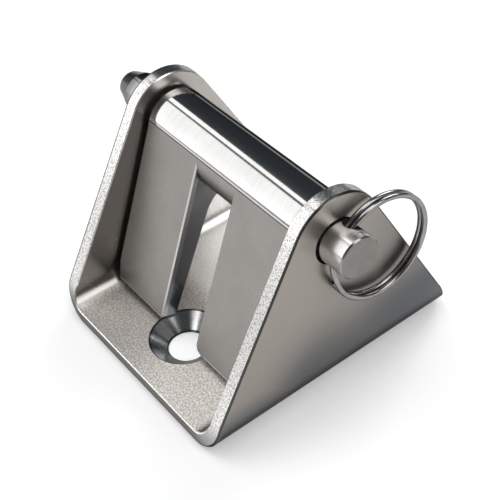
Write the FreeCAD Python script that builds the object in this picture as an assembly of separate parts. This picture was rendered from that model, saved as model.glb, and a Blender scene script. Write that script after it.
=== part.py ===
import FreeCAD, Part
import math
import os

os.makedirs("parts", exist_ok=True)

# X runs across the channel towards the ring side, Y along the chain, Z up.
# The origin lies on the underside of the base, straight below the pin.

# folded body
plateThickness = 3.0
innerWidth = 44.4
bendOuterRadius = 6.25
frontReach = 29.2
rearReach = 25.6
frontCornerHeight = 3.4
rearCornerHeight = 1.8
frontCornerRadius = 15.5
rearCornerRadius = 12.0
edgeBreak = 0.25

# ears
pinHeight = 32.9
earRadius = 9.0
earBoreRadius = 4.09
boreRimWidth = 0.35
boreRimDepth = 1.2

# countersunk screw holes on the centre line
screwHoleRadius = 3.7
countersinkRadius = 7.1
countersinkDepth = 2.8
frontScrewY = -17.5
screwSpacing = 31.5

# pin
pinRadius = 4.0
pinRingReach = 5.7
pinNoseReach = 7.45
pinNoseLength = 4.2
pinNoseTipRadius = 2.8
pinNoseRounding = 0.7
pinEndBreak = 0.3
ringHoleInset = 4.0
ringHoleRadius = 1.85
ringHoleTilt = 57.0

# split ring: it hangs against one side of its hole, a little nearer to the ear
ringWireRadius = 0.5
ringWireSides = 16
ringCoilPitch = 1.07
ringMeanRadius = 9.75
ringHang = 0.36
ringSideShift = 0.2
ringJogAngle = 28.0
ringJogCentre = 214.0

# flap: sleeve round the pin and a tapered leaf whose front face is tangent to the sleeve
sleeveRadius = 6.2
sleeveBoreRadius = 4.09
sleeveEndBreak = 0.2
flapSideGap = 1.0
flapLean = 23.8
flapRestGap = 0.08
leafToeThickness = 3.4
leafTaper = 0.0727
leafNeckFillet = 6.5
toeReliefWidth = 1.0
toeReliefHeight = 3.6
leafEdgeBreak = 0.3
toeBevelHeight = 0.6
toeBevelDepth = 0.25
slotWidth = 10.8
nearSlotToeRadius = 1.9
farSlotToeRadius = 0.4

halfInner = innerWidth / 2
halfOuter = halfInner + plateThickness
bendInnerRadius = bendOuterRadius - plateThickness
bendStart = halfOuter - bendOuterRadius
bendMeanRadius = bendOuterRadius - plateThickness / 2
bendLength = bendMeanRadius * math.pi / 2
flapHalfWidth = halfInner - flapSideGap
pinRingEnd = halfOuter + pinRingReach
pinNoseCylinderEnd = -(halfOuter + pinNoseReach)
ringHoleX = pinRingEnd - ringHoleInset
ringX = ringHoleX - ringSideShift

# a fold is drawn longer than the sheet at both ends and then trimmed
blankMargin = 5.0
fullTurn = 360.0


def vec(x, y, z):
    return FreeCAD.Vector(x, y, z)


def closedFace(edges):
    return Part.Face(Part.Wire(Part.sortEdges(edges)[0]))


def cylinderX(radius, x0, x1, y=0.0, z=pinHeight):
    return Part.makeCylinder(radius, x1 - x0, vec(x0, y, z), vec(1, 0, 0))


def biggestSolid(shape):
    solids = sorted(shape.Solids, key=lambda one: one.Volume)
    return solids[-1]


# straight edge of a flank: touches the ear circle and leaves the base edge at cornerHeight
def flankTangent(cornerY, cornerHeight):
    side = 1.0 if cornerY > 0 else -1.0
    dy = abs(cornerY)
    dz = pinHeight - cornerHeight
    reach = math.hypot(dy, dz)
    rise = math.atan2(dz, dy) + math.asin(earRadius / reach)
    length = math.sqrt(reach * reach - earRadius * earRadius)
    touchY = cornerY - side * length * math.cos(rise)
    touchZ = cornerHeight + length * math.sin(rise)
    return vec(0, touchY, touchZ), 1.0 / math.tan(rise)


# the sheet is cut flat and folded: setback of its edge at a distance along the fold
def setback(along, corner, slope, radius):
    turn = math.atan(slope)
    tangentLength = radius * math.tan(turn / 2)
    arcStart = corner - tangentLength
    arcEnd = corner + tangentLength * math.cos(turn)
    if along <= arcStart:
        return 0.0
    if along >= arcEnd:
        return (along - corner) * slope
    return radius - math.sqrt(radius * radius - (along - arcStart) ** 2)


class FlankEdge:
    def __init__(self, cornerY, cornerHeight, cornerRadius):
        self.cornerY = cornerY
        self.side = 1.0 if cornerY > 0 else -1.0
        self.radius = cornerRadius
        self.touch, self.slope = flankTangent(cornerY, cornerHeight)
        self.corner = bendLength + cornerHeight - bendOuterRadius

    def y(self, along):
        return self.cornerY - self.side * setback(along, self.corner, self.slope, self.radius)

    # width of the broken edge, measured along Y where the edge runs aslant
    def breakWidth(self, along):
        step = 0.05
        slope = (self.y(along + step) - self.y(along - step)) / (2 * step)
        return edgeBreak * math.sqrt(1 + slope * slope)

    def arcEnd(self):
        turn = math.atan(self.slope)
        return self.corner + self.radius * math.tan(turn / 2) * math.cos(turn)

    def point(self, along):
        return vec(0, self.y(along), bendOuterRadius + along - bendLength)

    # edges from the top of the fold up to the ear circle
    def edges(self):
        low = self.point(bendLength)
        end = self.arcEnd()
        if end <= bendLength:
            return [Part.makeLine(low, self.touch)], low
        middle = self.point((bendLength + end) / 2)
        high = self.point(end)
        curve = Part.Arc(low, middle, high).toShape()
        return [curve, Part.makeLine(high, self.touch)], low


frontEdge = FlankEdge(-frontReach, frontCornerHeight, frontCornerRadius)
rearEdge = FlankEdge(rearReach, rearCornerHeight, rearCornerRadius)


# cut edges of a plate's outline, without those of its foot
def outlineEdges(shape, footZ):
    chosen = []
    for edge in shape.Edges:
        box = edge.BoundBox
        onFace = box.XLength < 1e-6
        if onFace and box.ZMax > footZ + 1e-6:
            chosen.append(edge)
    return chosen


def flankPlate():
    frontEdges, frontLow = frontEdge.edges()
    rearEdges, rearLow = rearEdge.edges()
    crown = Part.Arc(frontEdge.touch, vec(0, 0, pinHeight + earRadius), rearEdge.touch).toShape()
    foot = Part.makeLine(frontLow, rearLow)
    face = closedFace(frontEdges + [crown] + rearEdges + [foot])
    face.translate(vec(halfInner, 0, 0))
    plate = face.extrude(vec(plateThickness, 0, 0))
    return plate.makeChamfer(edgeBreak, outlineEdges(plate, bendOuterRadius))


# section of the sheet between two radii: the slanted corners are the broken edges, drawn past its faces
def sheetSection(low, high, front, rear, frontBreak, rearBreak, place):
    past = 1.0
    share = (edgeBreak + past) / edgeBreak
    outline = [(low - past, front + frontBreak * share), (low + edgeBreak, front),
               (high - edgeBreak, front), (high + past, front + frontBreak * share),
               (high + past, rear - rearBreak * share), (high - edgeBreak, rear),
               (low + edgeBreak, rear), (low - past, rear - rearBreak * share)]
    corners = []
    for radius, y in outline:
        corners.append(place(radius, y))
    return Part.makePolygon(corners + [corners[0]])


def foldSection(angle):
    def place(radius, y):
        return vec(bendStart + radius * math.sin(angle), y, bendOuterRadius - radius * math.cos(angle))

    along = bendMeanRadius * angle
    return sheetSection(bendInnerRadius, bendOuterRadius, frontEdge.y(along), rearEdge.y(along),
                        frontEdge.breakWidth(along), rearEdge.breakWidth(along), place)


def foldPiece():
    sectionCount = 16
    quarter = math.pi / 2
    sections = []
    for index in range(sectionCount):
        sections.append(foldSection(quarter * index / (sectionCount - 1)))
    envelope = Part.makeLoft(sections, True, False)
    reach = frontReach + rearReach + 2 * blankMargin
    blankStart = -frontReach - blankMargin
    axisStart = vec(bendStart, blankStart, bendOuterRadius)
    outer = Part.makeCylinder(bendOuterRadius, reach, axisStart, vec(0, 1, 0))
    inner = Part.makeCylinder(bendInnerRadius, reach, axisStart, vec(0, 1, 0))
    quarterBox = Part.makeBox(bendOuterRadius + 1, reach, bendOuterRadius + 1)
    quarterBox.translate(vec(bendStart, blankStart, -1))
    ring = outer.cut(inner).common(quarterBox)
    return biggestSolid(ring.common(envelope))


def basePlate():
    def place(height, y):
        return vec(-bendStart, y, height)

    section = sheetSection(0.0, plateThickness, -frontReach, rearReach, edgeBreak, edgeBreak, place)
    block = Part.Face(section).extrude(vec(2 * bendStart, 0, 0))
    slab = Part.makeBox(2 * bendStart, frontReach + rearReach + 2, plateThickness,
                        vec(-bendStart, -frontReach - 1, 0))
    return biggestSolid(block.common(slab))


def mirrored(shape):
    return shape.mirror(vec(0, 0, 0), vec(1, 0, 0))


def screwHole(y):
    shank = Part.makeCylinder(screwHoleRadius, plateThickness + 2, vec(0, y, -1))
    slope = (countersinkRadius - screwHoleRadius) / countersinkDepth
    top = countersinkRadius + slope
    cone = Part.makeCone(screwHoleRadius, top, countersinkDepth + 1,
                         vec(0, y, plateThickness - countersinkDepth))
    return shank.fuse(cone)


def earBore(x0, x1):
    bore = cylinderX(earBoreRadius, x0 - 1, x1 + 1)
    rimRadius = earBoreRadius + boreRimWidth
    rimLow = Part.makeCone(rimRadius, earBoreRadius, boreRimDepth,
                           vec(x0, 0, pinHeight), vec(1, 0, 0))
    rimHigh = Part.makeCone(earBoreRadius, rimRadius, boreRimDepth,
                            vec(x1 - boreRimDepth, 0, pinHeight), vec(1, 0, 0))
    return bore.fuse([rimLow, rimHigh])


def buildBody():
    fold = foldPiece()
    flank = flankPlate()
    solid = basePlate().fuse([fold, flank, mirrored(fold), mirrored(flank)])
    solid = biggestSolid(solid.removeSplitter())
    tools = [screwHole(frontScrewY), screwHole(frontScrewY + screwSpacing)]
    tools.append(earBore(halfInner, halfOuter))
    tools.append(earBore(-halfOuter, -halfInner))
    return biggestSolid(solid.cut(tools))


def leafDirection():
    lean = math.radians(flapLean)
    up = vec(0, math.sin(lean), math.cos(lean))
    back = vec(0, math.cos(lean), -math.sin(lean))
    return up, back


# the toe's two outer corners stand on the folds of the body
def toeHeight():
    reach = flapHalfWidth - toeReliefWidth - bendStart
    drop = math.sqrt(bendInnerRadius ** 2 - max(0.0, reach) ** 2)
    return bendOuterRadius - drop + flapRestGap


# length of the leaf from its toe to the height of the pin
def leafLength():
    lean = math.radians(flapLean)
    rise = pinHeight + (sleeveRadius - leafToeThickness) * math.sin(lean) - toeHeight()
    return rise / math.cos(lean)


class LeafFrame:
    def __init__(self):
        self.up, self.back = leafDirection()
        self.length = leafLength()
        self.origin = vec(0, 0, pinHeight) - self.up * self.length - self.back * sleeveRadius

    def at(self, x, up, back):
        return self.origin + self.up * up + self.back * back + vec(x, 0, 0)


leaf = LeafFrame()


def leafProfile():
    # centre of the neck fillet: one radius off the back line and off the sleeve
    tilt = math.atan(leafTaper)
    offset = leafToeThickness + leafNeckFillet / math.cos(tilt)
    reach = sleeveRadius + leafNeckFillet
    a = 1 + leafTaper * leafTaper
    b = 2 * (leafTaper * (offset - sleeveRadius) - leaf.length)
    c = leaf.length ** 2 + (offset - sleeveRadius) ** 2 - reach * reach
    centreUp = (-b - math.sqrt(b * b - 4 * a * c)) / (2 * a)
    centreBack = offset + leafTaper * centreUp
    lineUp = centreUp + leafNeckFillet * math.sin(tilt)
    lineBack = centreBack - leafNeckFillet * math.cos(tilt)
    share = leafNeckFillet / reach
    sleeveUp = centreUp + (leaf.length - centreUp) * share
    sleeveBack = centreBack + (sleeveRadius - centreBack) * share
    towards = math.atan2((lineBack + sleeveBack) / 2 - centreBack, (lineUp + sleeveUp) / 2 - centreUp)
    middleUp = centreUp + leafNeckFillet * math.cos(towards)
    middleBack = centreBack + leafNeckFillet * math.sin(towards)
    x = -flapHalfWidth
    toeFront = leaf.at(x, 0, 0)
    toeBack = leaf.at(x, 0, leafToeThickness)
    lineEnd = leaf.at(x, lineUp, lineBack)
    filletMiddle = leaf.at(x, middleUp, middleBack)
    sleeveTouch = leaf.at(x, sleeveUp, sleeveBack)
    centre = leaf.at(x, leaf.length, sleeveRadius)
    crown = leaf.at(x, leaf.length, 0)
    edges = [Part.makeLine(toeFront, toeBack), Part.makeLine(toeBack, lineEnd),
             Part.Arc(lineEnd, filletMiddle, sleeveTouch).toShape(),
             Part.makeLine(sleeveTouch, centre), Part.makeLine(centre, crown),
             Part.makeLine(crown, toeFront)]
    return closedFace(edges)


# edges square to the leaf at its toe, on the planes x = +place and x = -place
def toeEdges(shape, place):
    chosen = []
    for edge in shape.Edges:
        first = edge.valueAt(edge.FirstParameter) - leaf.origin
        last = edge.valueAt(edge.LastParameter) - leaf.origin
        atToe = abs(first.dot(leaf.up)) < 0.01 and abs(last.dot(leaf.up)) < 0.01
        onSide = abs(abs(first.x) - place) < 0.01 and abs(abs(last.x) - place) < 0.01
        if atToe and onSide and first.x * last.x > 0:
            chosen.append(edge)
    return chosen


# border of the leaf's front face, without the line where it meets the sleeve
def frontBorder(shape):
    chosen = []
    for edge in shape.Edges:
        depths = []
        ups = []
        for share in (0.1, 0.5, 0.9):
            place = edge.FirstParameter + (edge.LastParameter - edge.FirstParameter) * share
            offset = edge.valueAt(place) - leaf.origin
            depths.append(abs(offset.dot(leaf.back)))
            ups.append(offset.dot(leaf.up))
        if max(depths) < 0.01 and min(ups) < leaf.length - 0.5:
            chosen.append(edge)
    return chosen


# prism standing square on the leaf, drawn in its width and height
def leafPrism(points):
    corners = []
    for x, up in points:
        corners.append(leaf.at(x, up, -3))
    return Part.Face(Part.makePolygon(corners + [corners[0]])).extrude(leaf.back * 20)


# wedge in front of the toe: it takes a flat bevel off the foot of the front face
def toeBevel():
    x = -flapHalfWidth - 1
    high = 2 * toeBevelHeight
    low = -toeBevelHeight
    corners = [leaf.at(x, high, -toeBevelDepth), leaf.at(x, low, 2 * toeBevelDepth),
               leaf.at(x, low - 2, -2), leaf.at(x, high, -2)]
    wedge = Part.Face(Part.makePolygon(corners + [corners[0]]))
    return wedge.extrude(vec(2 * flapHalfWidth + 2, 0, 0))


def leafPlate():
    plate = leafProfile().extrude(vec(2 * flapHalfWidth, 0, 0))
    half = slotWidth / 2
    top = leaf.length + 6
    cuts = [leafPrism([(-half, -2), (half, -2), (half, top), (-half, top)])]
    for side in (-1, 1):
        wall = side * flapHalfWidth
        foot = side * (flapHalfWidth - toeReliefWidth)
        under = side * (flapHalfWidth - 2 * toeReliefWidth)
        cuts.append(leafPrism([(wall, toeReliefHeight), (foot, 0), (under, -toeReliefHeight),
                               (wall + side, -toeReliefHeight), (wall + side, toeReliefHeight)]))
    legs = []
    for leg in plate.cut(cuts).Solids:
        toeRadius = nearSlotToeRadius if leg.CenterOfMass.x > 0 else farSlotToeRadius
        leg = leg.makeFillet(toeRadius, toeEdges(leg, half))
        leg = leg.makeChamfer(leafEdgeBreak, frontBorder(leg))
        legs.append(biggestSolid(leg.cut(toeBevel())))
    return legs


def buildFlap():
    sleeve = cylinderX(sleeveRadius, -flapHalfWidth, flapHalfWidth)
    ends = [edge for edge in sleeve.Edges if edge.Closed]
    sleeve = sleeve.makeChamfer(sleeveEndBreak, ends)
    solid = biggestSolid(sleeve.fuse(leafPlate()).removeSplitter())
    return biggestSolid(solid.cut(cylinderX(sleeveBoreRadius, -flapHalfWidth - 1, flapHalfWidth + 1)))


def buildPin():
    tipX = pinNoseCylinderEnd - pinNoseLength
    shoulder = tipX + pinNoseRounding
    r = pinNoseTipRadius
    slope = (pinRadius - r) / (pinNoseLength - pinNoseRounding)
    points = [vec(pinRingEnd, 0, 0), vec(pinRingEnd, pinRadius - pinEndBreak, 0),
              vec(pinRingEnd - pinEndBreak, pinRadius, 0), vec(pinNoseCylinderEnd, pinRadius, 0),
              vec(shoulder, r, 0)]
    edges = []
    for start, end in zip(points[:-1], points[1:]):
        edges.append(Part.makeLine(start, end))
    tipFlat = vec(tipX, r - pinNoseRounding - slope * pinNoseRounding, 0)
    middle = vec(tipX + 0.22 * pinNoseRounding, r - 0.42 * pinNoseRounding, 0)
    edges.append(Part.Arc(points[-1], middle, tipFlat).toShape())
    edges.append(Part.makeLine(tipFlat, vec(tipX, 0, 0)))
    edges.append(Part.makeLine(vec(tipX, 0, 0), points[0]))
    solid = closedFace(edges).revolve(vec(0, 0, 0), vec(1, 0, 0), fullTurn)
    solid.translate(vec(0, 0, pinHeight))
    along = ringHoleDirection()
    centre = vec(ringHoleX, 0, pinHeight)
    hole = Part.makeCylinder(ringHoleRadius, 2 * pinRadius + 4, centre - along * (pinRadius + 2), along)
    return biggestSolid(solid.cut(hole))


def ringHoleDirection():
    tilt = math.radians(ringHoleTilt)
    return vec(0, math.cos(tilt), math.sin(tilt))


# the wire bows away from the ring's centre inside the hole; half of the bow lies either side
def ringCentre():
    bow = ringMeanRadius - math.sqrt(ringMeanRadius ** 2 - pinRadius ** 2)
    along = ringHoleDirection()
    out = vec(0, along.z, -along.y)
    return vec(ringX, 0, pinHeight) + out * (ringMeanRadius - bow / 2 - ringHang), out, along


def ringPoint(angle, x):
    centre, out, along = ringCentre()
    turn = math.radians(angle)
    place = out * (ringMeanRadius * math.cos(turn)) + along * (ringMeanRadius * math.sin(turn))
    return centre + place + vec(x, 0, 0)


# the wire is drawn with many flat sides, which keeps so small a ring light
def wireSection(place, heading):
    across = vec(1, 0, 0) - heading * heading.x
    across.normalize()
    down = heading.cross(across)
    corners = []
    for index in range(ringWireSides):
        turn = 2 * math.pi * index / ringWireSides
        offset = across * math.cos(turn) + down * math.sin(turn)
        corners.append(place + offset * ringWireRadius)
    return Part.makePolygon(corners + [corners[0]])


# one flat turn of wire, from one angle to another about the ring's axis
def ringCoil(x, start, end):
    centre, out, along = ringCentre()
    turn = math.radians(start)
    heading = along * math.cos(turn) - out * math.sin(turn)
    section = Part.Face(wireSection(ringPoint(start, x), heading))
    return section.revolve(centre + vec(x, 0, 0), vec(1, 0, 0), end - start)


# the wire steps across from the first turn to the second between its two cut ends
def ringJog(x0, x1, start, end):
    centre, out, along = ringCentre()
    sectionCount = 6
    run = ringMeanRadius * math.radians(end - start)
    sections = []
    for index in range(sectionCount):
        share = index / (sectionCount - 1)
        ease = share * share * (3 - 2 * share)
        angle = start + (end - start) * share
        turn = math.radians(angle)
        heading = (along * math.cos(turn) - out * math.sin(turn)) * run
        heading = heading + vec((x1 - x0) * 6 * share * (1 - share), 0, 0)
        heading.normalize()
        sections.append(wireSection(ringPoint(angle, x0 + (x1 - x0) * ease), heading))
    return Part.makeLoft(sections, True, False)


def buildRing():
    half = ringCoilPitch / 2
    low = ringJogCentre - ringJogAngle / 2
    high = ringJogCentre + ringJogAngle / 2
    first = ringCoil(-half, high - fullTurn, low)
    jog = ringJog(-half, half, low, high)
    second = ringCoil(half, high, fullTurn + low)
    return biggestSolid(first.fuse([jog, second]))


nodes = {"body": buildBody, "flap": buildFlap, "pin": buildPin, "ring": buildRing}
for name, builder in nodes.items():
    shape = builder()
    shape.exportStep("parts/" + name + ".step")
    box = shape.BoundBox
    print(name, shape.ShapeType, len(shape.Solids), "valid", shape.isValid(), "volume", round(shape.Volume, 1),
          "box", round(box.XMin, 2), round(box.XMax, 2), round(box.YMin, 2), round(box.YMax, 2),
          round(box.ZMin, 2), round(box.ZMax, 2))
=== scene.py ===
import bmesh
import bpy
import math
from mathutils import Matrix, Vector


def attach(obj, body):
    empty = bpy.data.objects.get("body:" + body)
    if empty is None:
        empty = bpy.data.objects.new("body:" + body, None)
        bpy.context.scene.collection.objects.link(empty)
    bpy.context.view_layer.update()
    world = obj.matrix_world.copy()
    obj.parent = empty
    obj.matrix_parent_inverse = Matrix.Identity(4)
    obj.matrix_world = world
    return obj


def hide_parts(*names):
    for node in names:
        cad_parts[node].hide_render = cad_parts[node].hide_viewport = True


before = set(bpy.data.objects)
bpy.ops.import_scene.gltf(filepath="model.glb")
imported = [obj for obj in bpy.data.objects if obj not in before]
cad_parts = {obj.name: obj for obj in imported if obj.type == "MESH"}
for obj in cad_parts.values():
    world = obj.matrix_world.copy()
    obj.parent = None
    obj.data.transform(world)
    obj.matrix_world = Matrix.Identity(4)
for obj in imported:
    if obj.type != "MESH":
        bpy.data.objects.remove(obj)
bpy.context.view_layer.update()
print("frame loaded:", ", ".join(sorted(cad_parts)))

mm = 0.001


# puts a plain value, or the output of another node, on a socket
def plug(tree, socket, item):
    if isinstance(item, Wire):
        tree.links.new(item.socket, socket)
    else:
        socket.default_value = item


# one shader socket, so that masks read as plain arithmetic
class Wire:
    def __init__(self, board, socket):
        self.board = board
        self.socket = socket

    def math(self, operation, first, second=0.0):
        return self.board.node("Math", {"operation": operation}, {0: first, 1: second})

    def __add__(self, other):
        return self.math("ADD", self, other)

    __radd__ = __add__

    def __mul__(self, other):
        return self.math("MULTIPLY", self, other)

    __rmul__ = __mul__

    def __sub__(self, other):
        return self.math("SUBTRACT", self, other)

    def __rsub__(self, other):
        return self.math("SUBTRACT", other, self)

    def __abs__(self):
        return self.math("ABSOLUTE", self)

    def __pow__(self, other):
        return self.math("POWER", self, other)

    # the larger of this and other
    def atLeast(self, other):
        return self.math("MAXIMUM", self, other)

    # 0 below low, 1 above high, smooth between
    def rise(self, low, high):
        settings = {"interpolation_type": "SMOOTHSTEP"}
        return self.board.node("MapRange", settings, {"Value": self, "From Min": low, "From Max": high})

    # 1 below low, 0 above high, smooth between
    def fall(self, low, high):
        return 1 - self.rise(low, high)

    # 1 between low and high, with soft borders of the given width outside them
    def between(self, low, high, border):
        return self.rise(low - border, low) * self.fall(high, high + border)


# the largest of several masks
def anyOf(masks):
    largest = masks[0]
    for mask in masks[1:]:
        largest = largest.atLeast(mask)
    return largest


def grey(value):
    return (value, value, value, 1.0)


# bare stainless steel: a colour is (value, warmth), and tone makes it darker or lighter
def steel(colour, tone=1.0):
    value, warmth = colour
    return (value * tone * (1 + warmth), value * tone, value * tone * (1 - warmth), 1.0)


# a board of shader nodes; node() is the one place where a node is made
class Board:
    def __init__(self, tree):
        self.tree = tree

    def node(self, kind, settings, sockets, out=0):
        made = self.tree.nodes.new("ShaderNode" + kind)
        for key, item in settings.items():
            setattr(made, key, item)
        for key, item in sockets.items():
            plug(self.tree, made.inputs[key], item)
        return Wire(self, made.outputs[out])

    def place(self):
        return self.node("TexCoord", {}, {}, "Object")

    def split(self, vector):
        return [self.node("SeparateXYZ", {}, {"Vector": vector}, axis) for axis in "XYZ"]

    def stretched(self, vector, scale):
        return self.node("Mapping", {}, {"Vector": vector, "Scale": scale})

    def noise(self, vector, size, detail, roughness):
        sockets = {"Vector": vector, "Scale": 1 / size, "Detail": detail, "Roughness": roughness}
        return self.node("TexNoise", {}, sockets)

    # length of (a, b), both wires
    def distance(self, a, b):
        return (a * a + b * b) ** 0.5

    # inputs 6 and 7 and output 2 are the colour sockets of a Mix node
    def mix(self, share, first, second):
        return self.node("Mix", {"data_type": "RGBA"}, {0: share, 6: first, 7: second}, 2)

    # two tones of one steel colour, shared out by a mask
    def tones(self, share, colour, pair):
        return self.mix(share, steel(colour, pair[0]), steel(colour, pair[1]))

    def bump(self, height, distance, strength=1.0):
        sockets = {"Height": height, "Distance": distance, "Strength": strength}
        return self.node("Bump", {}, sockets, "Normal")


class Finish(Board):
    def __init__(self, name):
        self.material = bpy.data.materials.new(name)
        self.material.use_nodes = True
        Board.__init__(self, self.material.node_tree)
        self.surface = self.tree.nodes["Principled BSDF"]

    def coat(self, **sockets):
        for key, item in sockets.items():
            plug(self.tree, self.surface.inputs[key.replace("_", " ")], item)


def paint(name, material):
    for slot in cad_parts[name].material_slots:
        slot.material = material


# folded sheet: satin outside, smoother side plates inside, grainy floor, speckled cut edges
# here and below a colour is (value, warmth) and a pattern is (size, detail, roughness), most other pairs
# say where a soft border starts and ends, and skin is how far inside a face the hard borders lie
channel = {
    "thickness": 3.0 * mm, "bendRadius": 6.25 * mm, "bendStart": 18.95 * mm,
    "frontY": -29.2 * mm, "frontSlope": 32.0,
    "screwY": (-17.5 * mm, 14.0 * mm), "countersinkRadius": 7.1 * mm, "screwHoleRadius": 3.7 * mm,
    "skin": 0.03 * mm, "grazingTint": 0.3,
    # patterns
    "grain": (0.38 * mm, 4.0, 0.65), "grainBorder": (0.40, 0.60), "grainDepth": 0.045 * mm,
    "cloud": (9.0 * mm, 3.0, 0.5), "cloudBorder": (0.3, 0.7), "cloudRoughness": 0.06,
    "speck": (0.28 * mm, 4.0, 0.6), "speckBorder": (0.44, 0.60), "speckRelief": 0.1, "smoothRelief": 0.12,
    # outside, with painted shade at the rear, low down and along the folds, kept lighter higher up and at
    # the rear end
    "outerColour": (0.32, 0.09), "outerRoughness": 0.33, "paintedShadeColour": (0.155, -0.03),
    "rearPaintedShade": (6.0 * mm, 34.0 * mm), "cloudShift": 5.0 * mm,
    "lowPaintedShade": (4.0 * mm, 24.0 * mm), "lowPaintedShadeStart": (2.0 * mm, 14.0 * mm),
    "foldPaintedShade": (4.5 * mm, 11.0 * mm), "foldPaintedShadeShare": 0.95,
    "clearHeight": (11.0 * mm, 18.0 * mm), "clearShare": 0.4,
    "rearEnd": (35.0 * mm, 46.0 * mm), "rearEndShare": 0.35,
    # side plates inside, with painted light low behind the flap
    "sideColour": (0.42, 0.06), "sideTones": (0.95, 1.05), "sideRoughness": 0.24,
    "paintedLightSideColour": (0.82, 0.02), "paintedLightSideStart": (-2.0 * mm, 8.0 * mm),
    "paintedLightSideTop": (10.0 * mm, 20.0 * mm),
    # floor, with painted light in the near front corner and behind the flap, where its grain fades
    "floorColour": (0.62, 0.06), "paintedLightCornerColour": (0.992, 0.06), "paintedLightRearFloorColour": (0.96, 0.02),
    "grainColour": (0.31, 0.06), "floorRoughness": 0.46, "floorTop": (3.05 * mm, 3.6 * mm),
    "paintedLightCorner": (16.0 * mm, -28.0 * mm), "paintedLightCornerReach": (4.0 * mm, 26.0 * mm),
    "paintedLightRearFloorStart": (-12.0 * mm, -6.0 * mm),
    "grainShare": 0.8, "paintedLightCornerGrainLoss": 0.2, "paintedLightRearFloorGrainLoss": 0.6,
    # cut edges, with painted shade along their broken outer corners and on the front edge of the base
    "cutColour": (0.96, 0.02), "speckColour": (0.5568, 0.03), "cutRoughness": 0.17,
    "paintedEdgeShadingColour": (0.08, 0.02), "brokenWidth": 0.5 * mm,
    "paintedShadeFrontCutColour": (0.42, 0.02), "paintedShadeFrontCutReach": (0.3 * mm, 3.0 * mm),
    "paintedShadeFrontCutTop": (2.0 * mm, 16.0 * mm), "brightCorner": (0.3 * mm, 0.25 * mm),
    # turned cones of the countersinks, with painted highlights at two fixed angles and painted shade on
    # the rims
    "coneColour": (0.30, -0.03), "coneRoughness": 0.18, "paintedHighlightColour": (0.72, 0.0),
    "paintedHighlightsAt": (125.0, 197.0), "paintedHighlightBorder": (0.95, 0.99),
    "rimShadeColour": (0.09, -0.02), "rimWidth": 0.3 * mm, "rimBorder": 0.05 * mm,
    "holeRim": (0.2 * mm, 0.3 * mm),
}


# depth inside the sheet, the same on base, folds and flanks: 0 outside, its thickness inside
def sheetDepth(finish, x, z):
    beside = (abs(x) - channel["bendStart"]).atLeast(0.0)
    below = (channel["bendRadius"] - z).atLeast(0.0)
    return channel["bendRadius"] - finish.distance(beside, below)


# masks of the countersinks: the cones, the painted highlights at two fixed angles on them, and the rims
# that carry painted shade
def countersinkMasks(finish, x, y):
    cones = []
    paintedHighlights = []
    rims = []
    outer = channel["countersinkRadius"]
    hole = channel["screwHoleRadius"]
    border = channel["rimBorder"]
    for screwY in channel["screwY"]:
        away = finish.distance(x, y - screwY)
        cone = away.fall(outer, outer + border)
        outerRim = away.between(outer - channel["rimWidth"], outer, border)
        holeRim = away.fall(hole + channel["holeRim"][0], hole + channel["holeRim"][1])
        cones.append(cone)
        rims.append(outerRim.atLeast(holeRim))
        for angle in channel["paintedHighlightsAt"]:
            along = x * math.cos(math.radians(angle)) + (y - screwY) * math.sin(math.radians(angle))
            paintedHighlights.append((along * away ** -1.0).rise(*channel["paintedHighlightBorder"]) * cone)
    return anyOf(cones), anyOf(paintedHighlights), anyOf(rims)


# outer colour darkened by painted shade towards the rear, low down and along the folds
def outsideTint(finish, y, z, cloud):
    slope = math.radians(channel["frontSlope"])
    fromFront = (y - channel["frontY"]) * math.cos(slope) - z * math.sin(slope)
    rear = (fromFront + channel["cloudShift"] * cloud).rise(*channel["rearPaintedShade"])
    rear = rear * (1 - channel["clearShare"] * z.rise(*channel["clearHeight"]))
    low = z.fall(*channel["lowPaintedShade"]) * fromFront.rise(*channel["lowPaintedShadeStart"])
    fold = z.fall(*channel["foldPaintedShade"]) * channel["foldPaintedShadeShare"]
    clear = channel["rearEndShare"] * fromFront.rise(*channel["rearEnd"])
    shadeShare = anyOf([rear, low, fold]) * (1 - clear)
    return finish.mix(shadeShare, steel(channel["outerColour"]), steel(channel["paintedShadeColour"]))


# inner side plates in random tones, with painted light low towards the rear
def sideTint(finish, y, z, cloud):
    side = finish.tones(cloud.rise(*channel["cloudBorder"]), channel["sideColour"], channel["sideTones"])
    paintedLightLowRear = y.rise(*channel["paintedLightSideStart"]) * z.fall(*channel["paintedLightSideTop"])
    return finish.mix(paintedLightLowRear, side, steel(channel["paintedLightSideColour"]))


# floor colour with painted light in the near front corner and behind the flap
def floorTint(finish, x, y, grain):
    cornerX, cornerY = channel["paintedLightCorner"]
    paintedLightCorner = finish.distance(x - cornerX, y - cornerY).fall(*channel["paintedLightCornerReach"])
    paintedLightRearFloor = y.rise(*channel["paintedLightRearFloorStart"])
    ground = finish.mix(paintedLightCorner, steel(channel["floorColour"]), steel(channel["paintedLightCornerColour"]))
    ground = finish.mix(paintedLightRearFloor, ground, steel(channel["paintedLightRearFloorColour"]))
    lost = channel["paintedLightCornerGrainLoss"] * paintedLightCorner + channel["paintedLightRearFloorGrainLoss"] * paintedLightRearFloor
    dark = grain.rise(*channel["grainBorder"]) * (channel["grainShare"] - lost)
    return finish.mix(dark, ground, steel(channel["grainColour"]))


def cutTint(finish, y, z, depth, speck):
    edge = finish.mix(speck, steel(channel["cutColour"]), steel(channel["speckColour"]))
    # painted shade on the base's front edge below its bright broken corner, fading out round the folds
    near, far = (channel["frontY"] + reach for reach in channel["paintedShadeFrontCutReach"])
    low, high = (channel["thickness"] - corner for corner in channel["brightCorner"])
    paintedShadeFrontCut = y.fall(near, far) * z.fall(*channel["paintedShadeFrontCutTop"]) * depth.fall(low, high)
    return finish.mix(paintedShadeFrontCut, edge, steel(channel["paintedShadeFrontCutColour"]))


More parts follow.
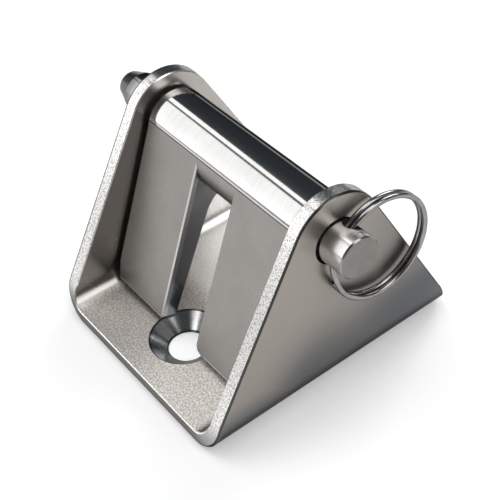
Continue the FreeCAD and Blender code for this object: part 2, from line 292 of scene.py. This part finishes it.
def channelFinish():
    finish = Finish("satin stainless sheet")
    place = finish.place()
    x, y, z = finish.split(place)
    thickness = channel["thickness"]
    skin = channel["skin"]
    depth = sheetDepth(finish, x, z)
    cones, paintedHighlights, rims = countersinkMasks(finish, x, y)
    cut = depth.between(2 * skin, thickness - 3 * skin, skin)
    turned = cones * cut
    sheared = cut * (1 - turned)
    broken = depth.between(2 * skin, channel["brokenWidth"] - skin, skin) * (1 - turned)
    inner = depth.rise(thickness - 2 * skin, thickness - skin)
    floorShare = inner * z.fall(*channel["floorTop"])
    sideShare = inner - floorShare
    grain = finish.noise(place, *channel["grain"])
    cloud = finish.noise(place, *channel["cloud"])
    speck = finish.noise(place, *channel["speck"]).rise(*channel["speckBorder"])
    # painted highlights on the cones, and painted shade on their rims
    cone = finish.mix(paintedHighlights, steel(channel["coneColour"]), steel(channel["paintedHighlightColour"]))
    cone = finish.mix(rims, cone, steel(channel["rimShadeColour"]))
    tint = finish.mix(sideShare, outsideTint(finish, y, z, cloud), sideTint(finish, y, z, cloud))
    tint = finish.mix(floorShare, tint, floorTint(finish, x, y, grain))
    tint = finish.mix(sheared, tint, cutTint(finish, y, z, depth, speck))
    tint = finish.mix(turned, tint, cone)
    # painted shade along the broken outer corners of the cut faces
    tint = finish.mix(broken, tint, steel(channel["paintedEdgeShadingColour"]))
    roughness = channel["outerRoughness"] + channel["cloudRoughness"] * cloud
    for share, name in ((sideShare, "side"), (floorShare, "floor"), (sheared, "cut"), (turned, "cone")):
        roughness = roughness + share * (channel[name + "Roughness"] - channel["outerRoughness"])
    smooth = channel["smoothRelief"]
    relief = grain * (smooth + (1 - smooth) * floorShare) * (1 - turned)
    relief = relief + channel["speckRelief"] * speck * sheared
    finish.coat(Base_Color=tint, Metallic=1.0, Roughness=roughness,
                Specular_Tint=grey(channel["grazingTint"]),
                Normal=finish.bump(relief, channel["grainDepth"]))
    return finish.material


# slotted flap: smooth cast leaf and a polished sleeve round the pin
flap = {
    "lean": 23.8, "toeY": -19.213 * mm, "toeZ": 4.702 * mm, "length": 33.553 * mm,
    "sleeveRadius": 6.2 * mm, "slotWidth": 10.8 * mm, "skin": 0.03 * mm, "grazingTint": 0.08,
    # patterns
    "grain": (0.5 * mm, 3.0, 0.6), "grainBorder": (0.35, 0.65), "grainDepth": 0.006 * mm,
    "grainTone": 0.86, "grainShare": 0.4,
    "cloud": (7.0 * mm, 3.0, 0.5), "cloudBorder": (0.3, 0.7), "cloudRoughness": 0.05,
    "marks": (0.25 * mm, 2.0, 0.6), "marksStretch": (1.0, 0.05, 0.05), "marksRelief": 0.12,
    # leaf; its broken edges carry a painted highlight, the slot's walls painted shade and their front
    # strip painted light
    "colour": (0.357, 0.05), "tones": (0.95, 1.05), "roughness": 0.36, "leafTop": 1.0 * mm,
    "paintedEdgeShadingColour": (0.80, 0.02), "brokenRoughness": 0.45, "edgeBreak": 0.3 * mm,
    "slotWallShadeColour": (0.26, -0.04), "wallRoughness": 0.14, "wallBorder": (0.02 * mm, 0.05 * mm),
    "slotFrontLightColour": (0.42, 0.02), "slotFrontLightWidth": 1.2 * mm, "slotFrontLightBorder": 0.05 * mm,
    # sleeve, with painted shade at its back, and a line of painted shade where it meets the leaf
    "sleeveColour": (0.76, 0.01), "sleeveTones": (1.0, 0.9), "sleeveRoughness": 0.07,
    "sleeveBorder": (0.001 * mm, 0.007 * mm), "polishBorder": (0.35, 0.65),
    "sleeveFoot": 0.02 * mm, "neckBorder": 0.1 * mm,
    "sleeveBackColour": (0.29, -0.02), "sleeveBack": (0.3 * mm, 1.2 * mm),
    "creaseShadeColour": (0.05, 0.0), "creaseShadeWidth": 0.13 * mm, "creaseShadeDepth": (0.3 * mm, 0.4 * mm),
}


def flapFinish():
    finish = Finish("smooth casting with a polished sleeve")
    place = finish.place()
    x, y, z = finish.split(place)
    length = flap["length"]
    radius = flap["sleeveRadius"]
    skin = flap["skin"]
    # height along the leaf from its toe, and depth behind its front face
    lean = math.radians(flap["lean"])
    fromToeY = y - flap["toeY"]
    fromToeZ = z - flap["toeZ"]
    up = fromToeY * math.sin(lean) + fromToeZ * math.cos(lean)
    back = fromToeY * math.cos(lean) - fromToeZ * math.sin(lean)
    sleeveAway = finish.distance(up - length, back - radius)
    onSleeve = sleeveAway.fall(radius + flap["sleeveBorder"][0], radius + flap["sleeveBorder"][1])
    aboveLeaf = up.rise(length - flap["sleeveFoot"], length + flap["sleeveFoot"])
    behind = back.rise(radius - flap["neckBorder"], radius)
    sleeve = onSleeve * aboveLeaf.atLeast(behind)
    # line of painted shade where the sleeve meets the leaf, then the broken edges and the slot's walls
    creaseShade = abs(up - length).fall(flap["creaseShadeWidth"] / 2, flap["creaseShadeWidth"]) * back.fall(*flap["creaseShadeDepth"])
    leafSide = (1 - onSleeve).atLeast(0.0) * up.fall(length - flap["leafTop"], length)
    broken = back.between(skin, flap["edgeBreak"] - skin, skin / 2) * leafSide
    wallStart, wallEnd = (flap["slotWidth"] / 2 + border for border in flap["wallBorder"])
    slotSide = abs(x).fall(wallStart, wallEnd) * leafSide
    slotFrontLight = slotSide * back.fall(flap["slotFrontLightWidth"], flap["slotFrontLightWidth"] + flap["slotFrontLightBorder"]) * (1 - broken)
    grain = finish.noise(place, *flap["grain"])
    cloud = finish.noise(place, *flap["cloud"])
    marks = finish.noise(finish.stretched(place, flap["marksStretch"]), *flap["marks"])
    leaf = finish.tones(cloud.rise(*flap["cloudBorder"]), flap["colour"], flap["tones"])
    grainShare = grain.rise(*flap["grainBorder"]) * flap["grainShare"]
    leaf = finish.mix(grainShare, leaf, steel(flap["colour"], flap["grainTone"]))
    # painted shade on the slot's walls, painted light on their front strip, and a painted highlight on the
    # broken edges
    leaf = finish.mix(slotSide, leaf, steel(flap["slotWallShadeColour"]))
    leaf = finish.mix(slotFrontLight, leaf, steel(flap["slotFrontLightColour"]))
    leaf = finish.mix(broken, leaf, steel(flap["paintedEdgeShadingColour"]))
    polishShare = (0.5 * cloud + 0.5 * marks).rise(*flap["polishBorder"])
    polish = finish.tones(polishShare, flap["sleeveColour"], flap["sleeveTones"])
    # painted shade on the back of the sleeve, and the line of painted shade where it meets the leaf
    backShade = back.rise(radius + flap["sleeveBack"][0], radius + flap["sleeveBack"][1])
    polish = finish.mix(backShade, polish, steel(flap["sleeveBackColour"]))
    tint = finish.mix(creaseShade, finish.mix(sleeve, leaf, polish), steel(flap["creaseShadeColour"]))
    roughness = flap["roughness"] + flap["cloudRoughness"] * cloud
    for share, name in ((slotSide, "wall"), (slotFrontLight.atLeast(broken), "broken"), (sleeve, "sleeve")):
        roughness = roughness + share * (flap[name + "Roughness"] - flap["roughness"])
    relief = grain * (1 - sleeve) + flap["marksRelief"] * marks * sleeve
    finish.coat(Base_Color=tint, Metallic=1.0, Roughness=roughness,
                Specular_Tint=grey(flap["grazingTint"]),
                Normal=finish.bump(relief, flap["grainDepth"]))
    return finish.material


# pull-out pin: turned and polished, with a faced end, and painted shade on that end, on its chamfer and on
# the nose
pin = {
    "pinHeight": 32.9 * mm, "radius": 4.0 * mm, "endX": 30.9 * mm, "endBreak": 0.3 * mm,
    "grazingTint": 0.5,
    "cloud": (3.0 * mm, 3.0, 0.5), "cloudRoughness": 0.08,
    "rings": (0.2 * mm, 2.0, 0.6), "ringsStretch": (1.0, 0.04, 0.04), "ringsRelief": 0.4,
    "circleSpacing": 0.22 * mm, "circlesRelief": 0.25, "reliefDepth": 0.004 * mm,
    "colour": (0.84, 0.02), "tones": (1.0, 0.9), "cloudBorder": (0.35, 0.7), "roughness": 0.18,
    "endShadeColour": (0.25, 0.05), "endTones": (1.0, 0.88), "endCloudBorder": (0.3, 0.7), "endRoughness": 0.42,
    "endBorder": (0.06 * mm, 0.01 * mm), "rimShadeColour": (0.3, 0.0), "rimBorder": 0.02 * mm,
    "noseShadeColour": (0.22, -0.04), "noseRoughness": 0.12, "noseBorder": (-32.7 * mm, -27.4 * mm),
}


def pinFinish():
    finish = Finish("turned stainless pin")
    place = finish.place()
    x, y, z = finish.split(place)
    away = finish.distance(y, z - pin["pinHeight"])
    end = x.rise(pin["endX"] - pin["endBorder"][0], pin["endX"] - pin["endBorder"][1])
    nose = x.fall(*pin["noseBorder"])
    rimX = pin["endX"] - pin["endBreak"]
    rimShade = x.rise(rimX - pin["rimBorder"], rimX)
    rings = finish.noise(finish.stretched(place, pin["ringsStretch"]), *pin["rings"])
    cloud = finish.noise(place, *pin["cloud"])
    circles = finish.node("Math", {"operation": "SINE"}, {0: away * (2 * math.pi / pin["circleSpacing"])})
    side = finish.tones(cloud.rise(*pin["cloudBorder"]), pin["colour"], pin["tones"])
    # painted shade on the nose, on the end's chamfer and, below, on the faced end
    side = finish.mix(nose, side, steel(pin["noseShadeColour"]))
    side = finish.mix(rimShade, side, steel(pin["rimShadeColour"]))
    faced = finish.tones(cloud.rise(*pin["endCloudBorder"]), pin["endShadeColour"], pin["endTones"])
    roughness = pin["roughness"] + pin["cloudRoughness"] * cloud
    for share, name in ((end, "end"), (nose, "nose")):
        roughness = roughness + share * (pin[name + "Roughness"] - pin["roughness"])
    relief = rings * (1 - end) * pin["ringsRelief"] + circles * end * pin["circlesRelief"]
    finish.coat(Base_Color=finish.mix(end, side, faced), Metallic=1.0, Roughness=roughness,
                Specular_Tint=grey(pin["grazingTint"]),
                Normal=finish.bump(relief, pin["reliefDepth"]))
    return finish.material


# split ring: one bright drawn wire, two turns side by side; angles are in degrees
wire = {
    "radius": 0.5 * mm, "sides": 24, "pitch": 1.07 * mm, "meanRadius": 9.75 * mm, "hang": 0.36 * mm,
    "middleX": 26.7 * mm, "holeTilt": 57.0,
    "jogAngle": 28.0, "jogCentre": 214.0, "stepAngle": 4.0,
    "endRounding": 0.12 * mm, "endSteps": 2, "mergeDistance": 0.0005 * mm,
    "colour": (0.32, 0.02), "tones": (1.0, 0.85), "roughness": 0.14, "grazingTint": 0.4,
    "cloud": (1.2 * mm, 3.0, 0.5), "cloudBorder": (0.3, 0.7), "cloudRoughness": 0.1,
    "reliefDepth": 0.01 * mm, "reliefStrength": 0.5,
}


def wireFinish():
    finish = Finish("drawn spring wire")
    cloud = finish.noise(finish.place(), *wire["cloud"])
    tint = finish.tones(cloud.rise(*wire["cloudBorder"]), wire["colour"], wire["tones"])
    roughness = wire["roughness"] + wire["cloudRoughness"] * cloud
    finish.coat(Base_Color=tint, Metallic=1.0, Roughness=roughness,
                Specular_Tint=grey(wire["grazingTint"]),
                Normal=finish.bump(cloud, wire["reliefDepth"], wire["reliefStrength"]))
    return finish.material


def eased(share):
    return share * share * (3 - 2 * share)


def windRing():
    # the ring hangs in the pin's cross hole, which leans; out points away from the pin
    tilt = math.radians(wire["holeTilt"])
    along = Vector((0, math.cos(tilt), math.sin(tilt)))
    out = Vector((0, along.z, -along.y))
    bow = wire["meanRadius"] - math.sqrt(wire["meanRadius"] ** 2 - pin["radius"] ** 2)
    reach = wire["meanRadius"] - bow / 2 - wire["hang"]
    centre = Vector((wire["middleX"], 0, pin["pinHeight"])) + out * reach
    start = math.radians(wire["jogCentre"] + wire["jogAngle"] / 2)
    turn = math.radians(360 - wire["jogAngle"])
    jog = math.radians(wire["jogAngle"])
    step = math.radians(wire["stepAngle"])
    # round section at the first cut end, square to the wire
    heading = along * math.cos(start) - out * math.sin(start)
    place = centre + (out * math.cos(start) + along * math.sin(start)) * wire["meanRadius"]
    place.x -= wire["pitch"] / 2
    mesh = bmesh.new()
    section = bmesh.ops.create_circle(mesh, cap_ends=True, radius=wire["radius"], segments=wire["sides"])
    turned = Matrix.Translation(place) @ heading.to_track_quat("Z", "X").to_matrix().to_4x4()
    bmesh.ops.transform(mesh, matrix=turned, verts=section["verts"])

    def sweep(edges, angle, shift, steps):
        made = bmesh.ops.spin(mesh, geom=edges, cent=centre, axis=(1, 0, 0), dvec=(shift / steps, 0, 0),
                              angle=angle, steps=steps, use_merge=False, use_duplicate=False)
        return [item for item in made["geom_last"] if isinstance(item, bmesh.types.BMEdge)]

    # one turn, an eased jog to the side, and the second turn
    edges = sweep(list(mesh.edges), turn, 0.0, round(turn / step))
    jogSteps = round(jog / step)
    for index in range(jogSteps):
        shift = eased((index + 1) / jogSteps) - eased(index / jogSteps)
        edges = sweep(edges, jog / jogSteps, wire["pitch"] * shift, 1)
    edges = sweep(edges, turn, 0.0, round(turn / step))
    bmesh.ops.contextual_create(mesh, geom=edges)
    ends = [face for face in mesh.faces if len(face.verts) == wire["sides"]]
    rims = [edge for face in ends for edge in face.edges]
    bmesh.ops.bevel(mesh, geom=rims, offset=wire["endRounding"], segments=wire["endSteps"], profile=0.5,
                    affect="EDGES", material=-1)
    bmesh.ops.remove_doubles(mesh, verts=mesh.verts, dist=wire["mergeDistance"])
    bmesh.ops.recalc_face_normals(mesh, faces=mesh.faces)
    for face in mesh.faces:
        face.smooth = len(face.verts) == 4
    data = bpy.data.meshes.new("split_ring")
    mesh.to_mesh(data)
    mesh.free()
    data.materials.append(wireFinish())
    piece = bpy.data.objects.new("split_ring", data)
    bpy.context.scene.collection.objects.link(piece)
    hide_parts("ring")
    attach(piece, "ring")


paint("body", channelFinish())
paint("flap", flapFinish())
paint("pin", pinFinish())
print("finishes of channel, flap and pin set")
windRing()
print("split ring wound")


# plain sheet of pale paper: seen, mirrored or looked through it is white, and it keeps the shadow
floor = {"size": 6.0, "gap": 0.02 * mm, "colour": 0.82, "roughness": 0.9, "gloss": 0.1, "seenGlow": 0.3}


def layFloor():
    bpy.ops.mesh.primitive_plane_add(size=floor["size"], location=(0, 0, -floor["gap"]))
    plane = bpy.context.object
    plane.name = "floor"
    finish = Finish("pale paper floor")
    kinds = ("Camera", "Glossy", "Transmission")
    rays = [finish.node("LightPath", {}, {}, "Is %s Ray" % kind) for kind in kinds]
    glow = finish.mix(anyOf(rays), grey(0.0), grey(floor["seenGlow"]))
    finish.coat(Base_Color=grey(floor["colour"]), Roughness=floor["roughness"],
                Specular_IOR_Level=floor["gloss"], Emission_Color=glow, Emission_Strength=1.0)
    plane.data.materials.append(finish.material)


layFloor()
print("floor laid")


# turns a lamp or the camera towards a point, and rolls it about that line
def aim(thing, target, roll):
    forward = (Vector(target) - thing.location).normalized()
    right = forward.cross(Vector((0, 0, 1))).normalized()
    up = right.cross(forward)
    across = right * math.cos(roll) + up * math.sin(roll)
    upright = up * math.cos(roll) - right * math.sin(roll)
    thing.rotation_euler = Matrix((across, upright, -forward)).transposed().to_euler()


# lamps by the direction they stand in, distance, size, how bright their faces look, and roll in degrees
lamps = {
    "frontBox": {"towards": (-0.66, -0.57, 0.50), "away": 1.0, "size": (0.95, 1.0),
                 "bright": 1.16, "roll": 20.0},
    "smallBox": {"towards": (0.16, -0.73, 0.66), "away": 1.0, "size": (0.3, 0.3),
                 "bright": 2.2, "roll": 0.0},
    "rearBox": {"towards": (-0.22, 0.76, 0.61), "away": 1.0, "size": (0.5, 0.5),
                "bright": 5.5, "roll": 0.0},
    "topBox": {"towards": (-0.16, 0.02, 0.98), "away": 0.9, "size": (0.5, 0.6),
               "bright": 2.6, "roll": 0.0},
    "topStrip": {"towards": (-0.607, -0.007, 0.787), "away": 1.0, "size": (0.14, 0.5),
                 "bright": 1.3, "roll": -30.0},
    "sideBox": {"towards": (0.60, 0.30, 0.76), "away": 1.0, "size": (0.45, 0.95),
                "bright": 2.4, "roll": 0.0},
}
lampTarget = (0.0, 0.0, 20.0 * mm)


def placeLamps():
    for name, lamp in lamps.items():
        light = bpy.data.lights.new(name, "AREA")
        light.shape = "RECTANGLE"
        light.size, light.size_y = lamp["size"]
        light.energy = lamp["bright"] * math.pi * lamp["size"][0] * lamp["size"][1]
        thing = bpy.data.objects.new(name, light)
        bpy.context.scene.collection.objects.link(thing)
        thing.location = Vector(lamp["towards"]).normalized() * lamp["away"]
        aim(thing, lampTarget, math.radians(lamp["roll"]))


placeLamps()
print("lamps placed")


# room: pale towards the horizon, darker overhead and darkest on one side behind
room = {
    "horizon": (0.32, 0.0), "top": (0.11, -0.03), "topBorder": (0.0, 0.7),
    "dark": (0.036, -0.2), "darkTowards": (-0.6, 0.72, 0.35), "darkBorder": (0.5, 0.97),
}


def paintRoom():
    world = bpy.data.worlds.new("studio")
    bpy.context.scene.world = world
    world.use_nodes = True
    board = Board(world.node_tree)
    direction = board.node("TexCoord", {}, {}, "Generated")
    height = board.split(direction)[2]
    nearDark = board.node("VectorMath", {"operation": "DOT_PRODUCT"},
                          {0: direction, 1: Vector(room["darkTowards"]).normalized()}, "Value")
    shade = board.mix(height.rise(*room["topBorder"]), steel(room["horizon"]), steel(room["top"]))
    shade = board.mix(nearDark.rise(*room["darkBorder"]), shade, steel(room["dark"]))
    plug(world.node_tree, world.node_tree.nodes["Background"].inputs["Color"], shade)


paintRoom()
print("room painted")


# camera where the photographer stood; roll is in radians
view = {
    "position": (0.13755, -0.08542, 0.16276), "target": (0.0, -0.00106, 0.0143), "roll": -0.14,
    "lens": 85.4, "sensor": 36.0, "clipStart": 0.01,
}


def placeCamera():
    camera = bpy.data.cameras.new("camera")
    camera.sensor_width = view["sensor"]
    camera.lens = view["lens"]
    camera.clip_start = view["clipStart"]
    eye = bpy.data.objects.new("camera", camera)
    bpy.context.scene.collection.objects.link(eye)
    eye.location = view["position"]
    aim(eye, view["target"], view["roll"])
    bpy.context.scene.camera = eye


placeCamera()
bpy.context.scene.view_settings.view_transform = "Standard"
print("camera placed")
